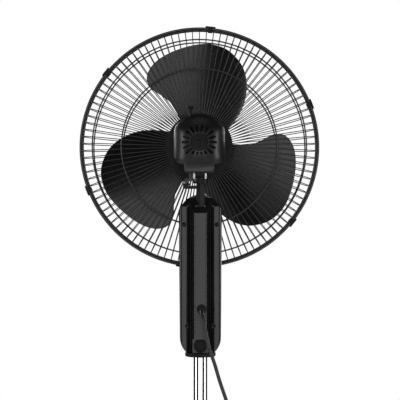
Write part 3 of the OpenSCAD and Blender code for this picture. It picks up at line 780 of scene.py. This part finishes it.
def make_bracket():
    """The casting on the tilt pin: its stem, the round seat under the head, the post and the link's lug."""
    stem = fillet([(-7.3, -6), (7.3, -6), (7.3, 2.5), (0.4, 6), (-7.3, 6)], [1.6, 1.6, 1, 0.6, 1.2])
    bracket = prism("tilt_casting", stem, "Z", TILT_Z, 974)
    combine(bracket, rod("eye", (0, TILT_Z), 6, "X", -7.3, 7.3, 40), "UNION")
    seat = fillet([(0.05, 972.6), (13, 972.6), (13, ARM_LOW - 0.3), (0.05, ARM_LOW - 0.3)], [0, 1, 1, 0], 4)
    combine(bracket, lathe("seat", seat, "Z", sides=72), "UNION")
    lug = prism("lug", fillet([(2, -18), (31, -18), (31, -3), (2, -3)], 4), "Z", LINK_Z - 6, LINK_Z - 0.3)
    combine(bracket, lug, "UNION")
    combine(bracket, rod("post", (0, 0), 8, "Z", 980, ARM_HIGH + 0.5, 48), "UNION")
    combine(bracket, rod("stud", STUD, 3, "Z", LINK_Z - 3, LINK_Z + 3.8, 32), "UNION")
    combine(bracket, rod("pin_hole", (0, TILT_Z), 3.04, "X", -40, 40, 32))
    return smooth(bracket, 40)


def make_link():
    ends = [Vector(STUD), Vector(CRANK_PIN)]
    along = (ends[1] - ends[0]).normalized()
    side = Vector((-along.y, along.x))
    outline = []
    for centre, start in ((ends[1], 1), (ends[0], -1)):
        for i in range(17):
            a = math.pi * (i / 16 - 0.5)
            outline.append(tuple(centre + start * (along * math.cos(a) + side * math.sin(a)) * 6))
    link = prism("link_bar", outline, "Z", LINK_Z, LINK_Z + 3.5)
    round_edges(link, 0.5, 2)
    combine(link, rod("hole", STUD, 3.04, "Z", LINK_Z - 5, LINK_Z + 8))
    combine(link, rod("hole", CRANK_PIN, 2.6, "Z", LINK_Z - 5, LINK_Z + 8))
    return smooth(link, 40)


# ---- Motor cover ----

COVER_W = 89
COVER_R = 53
COVER_FRONT, COVER_REAR = -25, 100
COVER_LOW = -33
DOME_R = 45
CASE_W = 53
CASE_BOTTOM, CASE_REAR = -50, 86
COVER_WALL = 2.2
VENTS = 18
VENTS_UP = 3               # how far the ring of vents stands above the fan's axis
VENT_FROM, VENT_TO, VENT_HALF = 17.0, 30.0, 1.9
CAP_R = 15.4
SEAT_Y = 93                # the seat of the upper cover screw
GEAR = (15, 62)


def cover_reach(a):
    """How far the cover's straight outline lies from the axis at angle a, from +X towards +Z."""
    x, z = math.cos(a), math.sin(a)
    reach = min(COVER_R, COVER_W / 2 / max(abs(x), 1e-6))
    return min(reach, -COVER_LOW / -z) if z < -0.01 else reach


def soft_reach(a):
    """The same outline with its corners rounded, by averaging over a small arc."""
    width = math.radians(12)
    return sum(cover_reach(a + width * k / 6) for k in range(-6, 7)) / 13


def cover_height(x, z):
    """The rear face's place along the axis: a dome and two rounded sides that melt into each other."""
    shoulder_y = COVER_REAR - DOME_R

    def rounded(distance, reach):
        over = min(max(distance - (reach - DOME_R), 0), DOME_R)
        return shoulder_y + math.sqrt(DOME_R ** 2 - over ** 2)

    dome = rounded(math.hypot(x, z), COVER_R)
    side = rounded(abs(x), COVER_W / 2) + 6 * (1 - ease(abs(x) / 16))
    blend = 7.0
    h = min(max(0.5 + 0.5 * (side - dome) / blend, 0), 1)
    return side + (dome - side) * h - blend * h * (1 - h)


def cap_relief(r):
    """The sunk middle cap and the small raised ring inside it."""
    sunk = -1.6 * (ease((r - 5.6) / 0.8) - ease((r - 14.2) / 1.0))
    ridge = 0.9 * (ease((r - 8.4) / 0.8) - ease((r - 10.2) / 0.8))
    return sunk + ridge


def vent_column(a, r):
    """Moves the columns beside a vent so that its sides run parallel."""
    pitch = 2 * math.pi / VENTS
    centre = round(a / pitch) * pitch
    step = pitch / 12
    side = math.asin(VENT_HALF / r)
    place = round((a - centre) / step)
    if abs(place) == 2:
        return centre + math.copysign(side, place)
    if abs(place) == 1:
        return centre + math.copysign(side / 2, place)
    return a


def thicken(verts, faces):
    """Closes the open skin with a second one inside it and walls along its free edges."""
    count = len(verts)
    inner = []
    for x, y, z in verts:
        r = max(math.hypot(x, z - AXIS_Z), 1e-6)
        shrink = 1 - COVER_WALL * ease((r - 20) / 20) / r
        depth = COVER_WALL * ease((y - HEAD_Y - COVER_FRONT) / 60)
        inner.append((x * shrink, y - depth, AXIS_Z + (z - AXIS_Z) * shrink))
    owners = {}
    for face in faces:
        for a, b in zip(face, face[1:] + face[:1]):
            owners[(a, b)] = True
    free = [(a, b) for a, b in owners if (b, a) not in owners]
    walls = [(b, a, a + count, b + count) for a, b in free]
    backs = [tuple(i + count for i in reversed(face)) for face in faces]
    return verts + inner, faces + backs + walls


def make_cover_skin():
    """The cover's skin as rings from its middle to its front edge, open at the vents and at the front."""
    columns = VENTS * 12
    turns = [2 * math.pi * i / columns for i in range(columns)]
    radii = [3.4, 5.6, 6.0, 6.4, 8.4, 8.8, 9.2, 10.2, 10.6, 11.0, 14.2, 14.7, 15.2, CAP_R, VENT_FROM,
             20.2, 23.5, 26.8, VENT_TO, 32.0]
    verts, faces, rows = [], [], []

    def vertex(x, z, y):
        verts.append((x, HEAD_Y + y, AXIS_Z + z))
        return len(verts) - 1

    def vented(r):
        return VENT_FROM <= r <= VENT_TO

    for r in radii:
        row = []
        for a in turns:
            b = vent_column(a, r) if vented(r) else a
            x, z = r * math.cos(b), VENTS_UP + r * math.sin(b)
            row.append(vertex(x, z, cover_height(x, z) + cap_relief(r)))
        rows.append(row)
    last = radii[-1]
    steps = 16
    for k in range(1, steps + 1):
        t = math.sin(math.pi / 2 * k / steps)
        row = []
        for a in turns:
            r = last + (soft_reach(a) - last) * t
            x, z = r * math.cos(a), VENTS_UP * (1 - t) + r * math.sin(a)
            row.append(vertex(x, z, cover_height(x, z)))
        rows.append(row)
    edge = [verts[i] for i in rows[-1]]
    steps = 7
    for k in range(1, steps + 1):
        t = k / steps
        rows.append([vertex(x, z - AXIS_Z, (y - HEAD_Y) * (1 - t) + COVER_FRONT * t) for x, y, z in edge])
    centre = vertex(0, VENTS_UP, cover_height(0, VENTS_UP))
    faces += [(centre, rows[0][i], rows[0][(i + 1) % columns]) for i in range(columns)]
    for k in range(len(rows) - 1):
        open_row = k < len(radii) - 1 and vented(radii[k]) and vented(radii[k + 1])
        for i in range(columns):
            if open_row and i % 12 in (0, 1, 10, 11):
                continue
            j = (i + 1) % columns
            faces.append((rows[k][i], rows[k + 1][i], rows[k + 1][j], rows[k][j]))
    return outward(make_object("head_cover", *thicken(verts, faces)))


def make_case(inset, depth, corner):
    """The cover's lower part over the gearbox, or the space inside it."""
    half = CASE_W / 2 - inset
    outline = [(-half, CASE_BOTTOM + inset), (half, CASE_BOTTOM + inset), (half, -14), (-half, -14)]
    outline = [(x, AXIS_Z + z) for x, z in fillet(outline, [corner, corner, 0, 0], 6)]
    return prism("case", outline, "Y", HEAD_Y + COVER_FRONT - depth, HEAD_Y + CASE_REAR - inset)


def paint_cap(cover):
    """Gives the sunk middle cap the matt finish of a separate insert."""
    cover.data.materials.append(MATERIALS["gloss_black"])
    cover.data.materials.append(MATERIALS["matte_black"])
    for face in cover.data.polygons:
        x, y, z = face.center / MM
        near = math.hypot(x, z - AXIS_Z - VENTS_UP) < CAP_R
        face.material_index = 1 if near and y > HEAD_Y + COVER_REAR - 12 else 0


def make_head_cover():
    cover = make_cover_skin()
    case = make_case(0, 0, 7)
    round_edges(case, 3.5, 4, 50)
    combine(cover, case, "UNION")
    combine(cover, make_case(COVER_WALL, 5, 5))
    slot = block("arm_slot", (-15.4, 13.6), (HEAD_Y + 10, HEAD_Y + 61), (AXIS_Z - 60, AXIS_Z - 43))
    combine(cover, slot)
    gear_y = HEAD_Y + GEAR[1]
    combine(cover, rod("knob_hole", (GEAR[0], gear_y), 3.8, "Z", AXIS_Z + 20, AXIS_Z + 80))
    combine(cover, rod("crank_hole", (GEAR[0], gear_y), 6, "Z", AXIS_Z - 60, AXIS_Z - 40))
    middle, upper = (0, AXIS_Z + VENTS_UP), (0, AXIS_Z + 30)
    behind = HEAD_Y + 110
    combine(cover, rod("screw_hole", middle, 1.7, "Y", HEAD_Y + 80, behind, 20))
    combine(cover, rod("screw_hole", upper, 1.7, "Y", HEAD_Y + 70, behind, 20))
    combine(cover, rod("screw_seat", upper, 3.1, "Y", HEAD_Y + SEAT_Y, behind, 24))
    smooth(cover, 32)
    paint_cap(cover)
    finish_piece(cover, "gloss_black", "head", "motor_cover")
    heads = [screw_head("cover_screw", middle, 3.4, HEAD_Y + 102),
             screw_head("cover_screw", upper, 2.8, HEAD_Y + SEAT_Y + 2)]
    heads += [rod("shank", middle, 1.5, "Y", HEAD_Y + 78.1, HEAD_Y + 100.2, 20),
              rod("shank", upper, 1.5, "Y", HEAD_Y + 84, HEAD_Y + SEAT_Y + 0.2, 20)]
    finish_piece(smooth(join("cover_screw_set", heads), 35), "dark_steel", "head", "cover_screws")
    profile = fillet([(0.05, 10), (3, 10), (3, 60), (4.2, 63), (6, 64.5), (6, 67), (0.05, 67)],
                     [0, 0.3, 4, 2, 0.8, 0.8, 0], 4)
    knob = lathe("swing_pull", profile, "Z", (GEAR[0], gear_y, AXIS_Z), 48)
    finish_piece(knob, "matte_black", "puller", "swing_knob")


# ---- Blade ----

LEAF_CURVE = 350           # the radius of the leaf's bend across its middle line
LEAF_CREST = 115
LEAF_Y = -51
LEAF_T = 2.2
LEAF_MIDDLE = 97           # the first leaf's middle line, in degrees from +X towards +Z
LEAF_FROM, LEAF_TO = 34, 189.9
LEAF_LEAD = [              # the leading edge as (radius, degrees from the middle line)
    (34, -44), (61, -42), (90, -39.5), (113, -43), (135, -46.5), (153, -45.5), (164, -42), (173, -35.5),
    (178.5, -27), (182.5, -18), (187.5, -8), (190, -0.5),
]
LEAF_TRAIL = [
    (34, 56), (68, 49.5), (86.5, 45), (107, 40.5), (125, 36), (146, 30), (158, 26), (171, 20.5),
    (180.5, 14.5), (188, 7.5), (190, -0.5),
]


def along_edge(points, r):
    """The edge's angle at radius r, on a smooth line through its points."""
    for i in range(len(points) - 1):
        (r0, a0), (r1, a1) = points[i], points[i + 1]
        if r <= r1 or i == len(points) - 2:
            t = min(max((r - r0) / (r1 - r0), 0), 1)
            before = points[max(i - 1, 0)]
            after = points[min(i + 2, len(points) - 1)]
            m0 = (a1 - before[1]) / max(r1 - before[0], 1e-6) * (r1 - r0)
            m1 = (after[1] - a0) / max(after[0] - r0, 1e-6) * (r1 - r0)
            if i == len(points) - 2:
                m1 = 2.2 * (a1 - a0)
            h = t * t * (3 - 2 * t)
            return a0 + (a1 - a0) * h + m0 * (t ** 3 - 2 * t * t + t) + m1 * (t ** 3 - t * t)


def make_leaf(index):
    """One leaf as two skins, front and rear, joined along their edges."""
    rows, columns = 46, 36
    turn = math.radians(LEAF_MIDDLE + 120 * index)
    top, bottom, verts = [], [], []
    for i in range(rows + 1):
        r = LEAF_FROM + (LEAF_TO - LEAF_FROM) * (1 - (1 - i / rows) ** 1.7)
        lead, trail = along_edge(LEAF_LEAD, r), along_edge(LEAF_TRAIL, r)
        top.append([])
        bottom.append([])
        for j in range(columns + 1):
            u = 0.5 - 0.5 * math.cos(math.pi * j / columns)
            d = math.radians(lead + (trail - lead) * u)
            t = r * math.sin(d)
            drop = math.sqrt(LEAF_CURVE ** 2 - (t + LEAF_CREST) ** 2)
            slope = (t + LEAF_CREST) / drop
            n = 1 / math.sqrt(1 + slope * slope)
            edge = min(u * (trail - lead), (1 - u) * (trail - lead)) * math.radians(1) * r
            edge = min(edge, (190.6 - r) * 1.2)
            half = LEAF_T / 2 * (0.35 + 0.65 * min(1.0, edge / 5.0) ** 0.5)   # thin at its edges
            middle = LEAF_Y - (LEAF_CURVE - drop) - LEAF_T / 2 / n
            for skin, sign in ((top[-1], 1), (bottom[-1], -1)):
                across = t + sign * half * slope * n
                along = r * math.cos(d)
                x = along * math.cos(turn) - across * math.sin(turn)
                z = along * math.sin(turn) + across * math.cos(turn)
                verts.append((x, HEAD_Y + middle + sign * half * n, AXIS_Z + z))
                skin.append(len(verts) - 1)
    faces = []
    for i in range(rows):
        a, b, c, d = top[i], top[i + 1], bottom[i], bottom[i + 1]
        for j in range(columns):
            faces.append((a[j], a[j + 1], b[j + 1], b[j]))
            faces.append((c[j], d[j], d[j + 1], c[j + 1]))
        faces.append((a[0], b[0], d[0], c[0]))
        faces.append((a[columns], c[columns], d[columns], b[columns]))
    for j in range(columns):
        faces.append((top[0][j], bottom[0][j], bottom[0][j + 1], top[0][j + 1]))
        faces.append((top[rows][j], top[rows][j + 1], bottom[rows][j + 1], bottom[rows][j]))
    return outward(make_object("leaf", verts, faces))


def make_blade():
    y = HEAD_Y
    points = [(4.02, y - 98), (4.02, y - 64), (9, y - 64), (9, y - 97), (33, y - 97), (33, y - 58),
              (36, y - 58), (36, y - 96), (32, y - 100), (9, y - 100), (4.02, y - 100)]
    profile = fillet(points, [0, 0.4, 0.6, 1.5, 2, 0.8, 0.8, 3, 2, 0, 0], 4)
    parts = [lathe("hub", profile, "Y", (0, 0, AXIS_Z), 120)]
    for i in range(6):
        rib = block("rib", (8.5, 33.5), (y - 97.5, y - 72), (AXIS_Z - 0.9, AXIS_Z + 0.9))
        parts.append(turn_about_axis(rib, 60 * i + 30))
    return smooth(join("three_leaf_blade", parts + [make_leaf(i) for i in range(3)]), 42)


def make_blade_nut():
    y = HEAD_Y
    points = [(0.05, y - 122), (6, y - 122), (14, y - 118), (20, y - 108), (20, y - 100.05),
              (0.05, y - 100.05)]
    nut = lathe("spinner_nut", fillet(points, [0, 2, 4, 3, 0.4, 0], 5), "Y", (0, 0, AXIS_Z))
    for i in range(6):
        flute = rod("flute", (21.5, AXIS_Z), 3, "Y", y - 130, y - 95, 24)
        combine(nut, turn_about_axis(flute, 60 * i))
    return smooth(nut, 40)


# ---- Guard ----

HALVES = {                 # each half's bend radius, its face's slope in degrees, its rings and its side
    "rear": {"bend": 34, "slope": 4, "rings": [141, 193.4], "sign": 1},
    "front": {"bend": 50, "slope": 8, "rings": [143.3, 196.1], "sign": -1},
}


def wire_path(half):
    """A radial wire's middle line as (radius, height over the rim plane), from its inner end to the rim."""
    bend, slope = half["bend"], math.radians(half["slope"])
    start = END_RING_R - bend + bend * math.sin(slope)
    top = SEAT + bend * math.cos(slope)
    rise = (start - WIRE_IN_R) * math.tan(slope)
    path = [(WIRE_IN_R, top + rise), ((WIRE_IN_R + start) / 2, top + rise / 2), (start, top)]
    steps = 12
    for i in range(1, steps + 1):
        a = (math.pi / 2 - slope) * (1 - i / steps)
        path.append((END_RING_R - bend + bend * math.cos(a), SEAT + bend * math.sin(a)))
    return path + [(END_RING_R, END_RING_OFF)]


def make_wires(name, half):
    path = wire_path(half)
    verts, faces = [], []
    sides = 8
    for w in range(WIRE_COUNT):
        a = 2 * math.pi * w / WIRE_COUNT
        out = Vector((math.sin(a), 0, math.cos(a)))
        across = Vector((math.cos(a), 0, -math.sin(a)))
        axial = Vector((0, half["sign"], 0))
        first = len(verts)
        for i, (r, h) in enumerate(path):
            before, after = path[max(i - 1, 0)], path[min(i + 1, len(path) - 1)]
            along = (out * (after[0] - before[0]) + axial * (after[1] - before[1])).normalized()
            side = across.cross(along).normalized()
            centre = out * r + axial * h + Vector((0, RIM_Y, AXIS_Z))
            for k in range(sides):
                b = 2 * math.pi * k / sides
                verts.append(tuple(centre + WIRE_R * (math.cos(b) * side + math.sin(b) * across)))
        faces += ring_faces(sides, len(path), closed=False, first=first)
    return smooth(outward(make_object(name, verts, faces)), 50)


def ring_place(half, r):
    """Where a supporting ring lies on the wires' outer side, sunk a little into them by its weld."""
    bend, slope = half["bend"], math.radians(half["slope"])
    start = END_RING_R - bend + bend * math.sin(slope)
    if r > start:
        lean = math.asin((r - END_RING_R + bend) / bend)
        h = SEAT + math.sqrt(bend ** 2 - (r - END_RING_R + bend) ** 2)
    else:
        lean = slope
        h = SEAT + bend * math.cos(slope) + (start - r) * math.tan(slope)
    out = WIRE_R + RING_R - 0.35
    return r + out * math.sin(lean), h + out * math.cos(lean)


def make_rings(name, half):
    rings = []
    places = [(END_RING_R, END_RING_OFF, END_RING_D / 2)]
    places += [(*ring_place(half, r), RING_R) for r in half["rings"]]
    for r, h, thick in places:
        section = circle((r, RIM_Y + half["sign"] * h), thick, 14)
        rings.append(lathe("ring", section, "Y", (0, 0, AXIS_Z), 204))
    return smooth(join(name, rings), 60)


def arc_block(name, outline, angle, half_angle, steps):
    """Sweeps an outline of (radius, height) points over a short arc of the rim, with angle in its middle."""
    verts = []
    for i in range(steps + 1):
        a = math.radians(angle + half_angle * (2 * i / steps - 1))
        verts += [(r * math.cos(a), RIM_Y + h, AXIS_Z + r * math.sin(a)) for r, h in outline]
    return outward(make_object(name, verts, ring_faces(len(outline), steps + 1, closed=False)))


def make_clip(angle):
    """A snap clip over the trim ring: a ribbed bridge with a finger at each side."""
    low, top = GUARD_R + 0.1, GUARD_R + 2.4
    points = [(low, -11), (top - 0.6, -10.6), (top, -8), (top, 8), (top - 0.6, 10.6), (low, 11)]
    outline = fillet(points, 1, 3)
    parts = [round_edges(arc_block("bridge", outline, angle, 2.4, 6), 0.5, 2, 50)]
    for sign in (-1, 1):
        outline = [(GUARD_R - 8, sign * 9), (GUARD_R + 0.6, sign * 8.2), (GUARD_R + 0.6, sign * 10.8),
                   (GUARD_R - 8, sign * 10.8)]
        parts.append(round_edges(arc_block("finger", outline, angle, 1.1, 3), 0.4, 2, 50))
    for y in (-4, -1.3, 1.3, 4):
        outline = [(top - 0.4, y - 0.5), (top, y - 0.3), (top, y + 0.3), (top - 0.4, y + 0.5)]
        parts.append(arc_block("grip", outline, angle, 1.9, 4))
    return join("clip", parts)


CLIP_PLACES = [14.5, 31.5, 48.5, 65.5, 82.5, 100.5]   # in wire gaps from the top


def make_guard():
    for side, half in HALVES.items():
        wires = make_wires(side + "_radial_wires", half)
        finish_piece(wires, "wire_black", "head", side + "_guard_wires")
        rings = make_rings(side + "_support_rings", half)
        finish_piece(rings, "wire_black", "head", side + "_guard_rings")
    r = GUARD_R
    points = [(r, -8), (r, 8), (r - 3.8, 8), (r - 3.8, 6.6), (r - 2.8, 6.2), (r - 2.8, -6.2), (r - 3.8, -6.6),
              (r - 3.8, -8)]
    profile = fillet(points, [1.6, 1.6, 0.7, 0.3, 0.3, 0.3, 0.3, 0.7], 4)
    trim = lathe("rim_band", profile, "Y", (0, RIM_Y, AXIS_Z), 240)
    finish_piece(trim, "trim_black", "head", "guard_trim")
    clips = [make_clip(90 - 360 / WIRE_COUNT * place) for place in CLIP_PLACES]
    finish_piece(smooth(join("rim_clips", clips), 40), "matte_black", "head", "guard_clips")
    low, high = box_mm("rear_guard_plate")
    points = [(15.3, low.y), (60, low.y), (60, high.y), (54, high.y), (15.3, high.y)]
    plate = lathe("hub_plate", fillet(points, [0, 0.5, 0.5, 0, 0], 3), "Y", (0, 0, AXIS_Z), 120)
    finish_piece(plate, "matte_black", "head", "rear_guard_plate")
    low, high = box_mm("badge")
    front, back, r = low.y, high.y, (high.x - low.x) / 2
    face = [(r, front + 1), (r - 1, front), (r - 5, front), (r - 6.5, front + 1.2), (r * 0.55, front + 0.9),
            (0.05, front + 0.4)]
    profile = [(0.05, back), (r, back)] + fillet(face, [0, 0.8, 1, 1.2, 20, 0], 4, closed=False)
    badge = lathe("front_badge", profile, "Y", (0, 0, AXIS_Z), 144)
    finish_piece(badge, "badge_grey", "head", "badge")


# ---- Everything else keeps its CAD shape and takes its finish ----


def finish_cad_nodes():
    slots = {s["node"]: s["material_slot"] for s in frame["record"]["subparts"]}
    for name, node in frame["nodes"].items():
        if node.hide_render:
            continue
        node.data.materials.clear()
        node.data.materials.append(MATERIALS[slots[name]])
        smooth(node, 30)


# ---- Light and floor ----


MIDDLE = (0, 0, 0.95)      # every light aims here; places and sizes are in metres, power in watts
LIGHTS = {
    "rear_panel": ((0, 2.75, 0.95), (3.8, 3.0), 52),
    "left_softbox": ((2.66, 0.45, 0.9), (0.7, 1.5), 16),
    "right_softbox": ((-2.66, 0.45, 0.9), (0.7, 1.5), 16),
    "front_key": ((1.5, -2.6, 1.5), (1.6, 1.2), 26),
    "front_fill": ((-1.6, -2.6, 1.3), (1.4, 1.4), 14),
    "overhead": ((0, 0, 3.4), (1.6, 1.6), 2),
}
WORLD_FILL = 0.04          # the white surroundings' strength for everything but the camera
WHITE = (1, 1, 1, 1)
FLOOR_R = 2600


def area_light(name, at, size, power):
    data = bpy.data.lights.new(name, "AREA")
    data.shape = "RECTANGLE"
    data.size, data.size_y = size
    data.energy = power
    lamp = add_object(name, data)
    lamp.location = at
    lamp.rotation_euler = (Vector(MIDDLE) - Vector(at)).to_track_quat("-Z", "Y").to_euler()


def make_light():
    """Soft lamps around the fan, and surroundings that are white to the camera and nearly dark to the fan."""
    scene = bpy.context.scene
    scene.view_settings.view_transform = "Standard"
    world = bpy.data.worlds.new("studio")
    scene.world = world
    world.use_nodes = True
    nodes, links = world.node_tree.nodes, world.node_tree.links
    seen = nodes["Background"]
    seen.inputs["Color"].default_value = WHITE
    seen.inputs["Strength"].default_value = 1.0
    fill = nodes.new("ShaderNodeBackground")
    fill.inputs["Color"].default_value = WHITE
    fill.inputs["Strength"].default_value = WORLD_FILL
    mix = nodes.new("ShaderNodeMixShader")
    rays = nodes.new("ShaderNodeLightPath")
    links.new(rays.outputs["Is Camera Ray"], mix.inputs["Fac"])
    links.new(fill.outputs["Background"], mix.inputs[1])
    links.new(seen.outputs["Background"], mix.inputs[2])
    links.new(mix.outputs["Shader"], nodes["World Output"].inputs["Surface"])
    for name, (at, size, power) in LIGHTS.items():
        area_light(name, at, size, power)


def make_floor():
    verts = [(x, y, -0.2) for x, y in circle((0, 0), FLOOR_R, 96)]
    floor = make_object("floor", verts, [tuple(range(len(verts)))])
    paint = Surface("floor_paint", (0.86, 0.86, 0.86), 0.6)
    paint.vary("Roughness", paint.noise(3), 0.55, 0.65)
    floor.data.materials.append(paint.material)


# ---- Build ----

make_camera()
lead, lead_path = make_cord()
plug = make_plug()
finish_piece(plug, "cord_black", "base", "plug")
relief = make_strain_relief()
finish_piece(relief, "rubber", "column", "strain_relief")
hang_cord(lead)

make_stand()
make_box()
finish_piece(make_bracket(), "black_paint", "tilt", "tilt_bracket")
finish_piece(make_link(), "dark_steel", "link", "crank_link")
make_head_cover()
finish_piece(make_blade(), "blade_black", "rotor", "fan_blade")
finish_piece(make_blade_nut(), "blade_black", "rotor", "blade_nut")
make_guard()
finish_cad_nodes()
make_light()
make_floor()
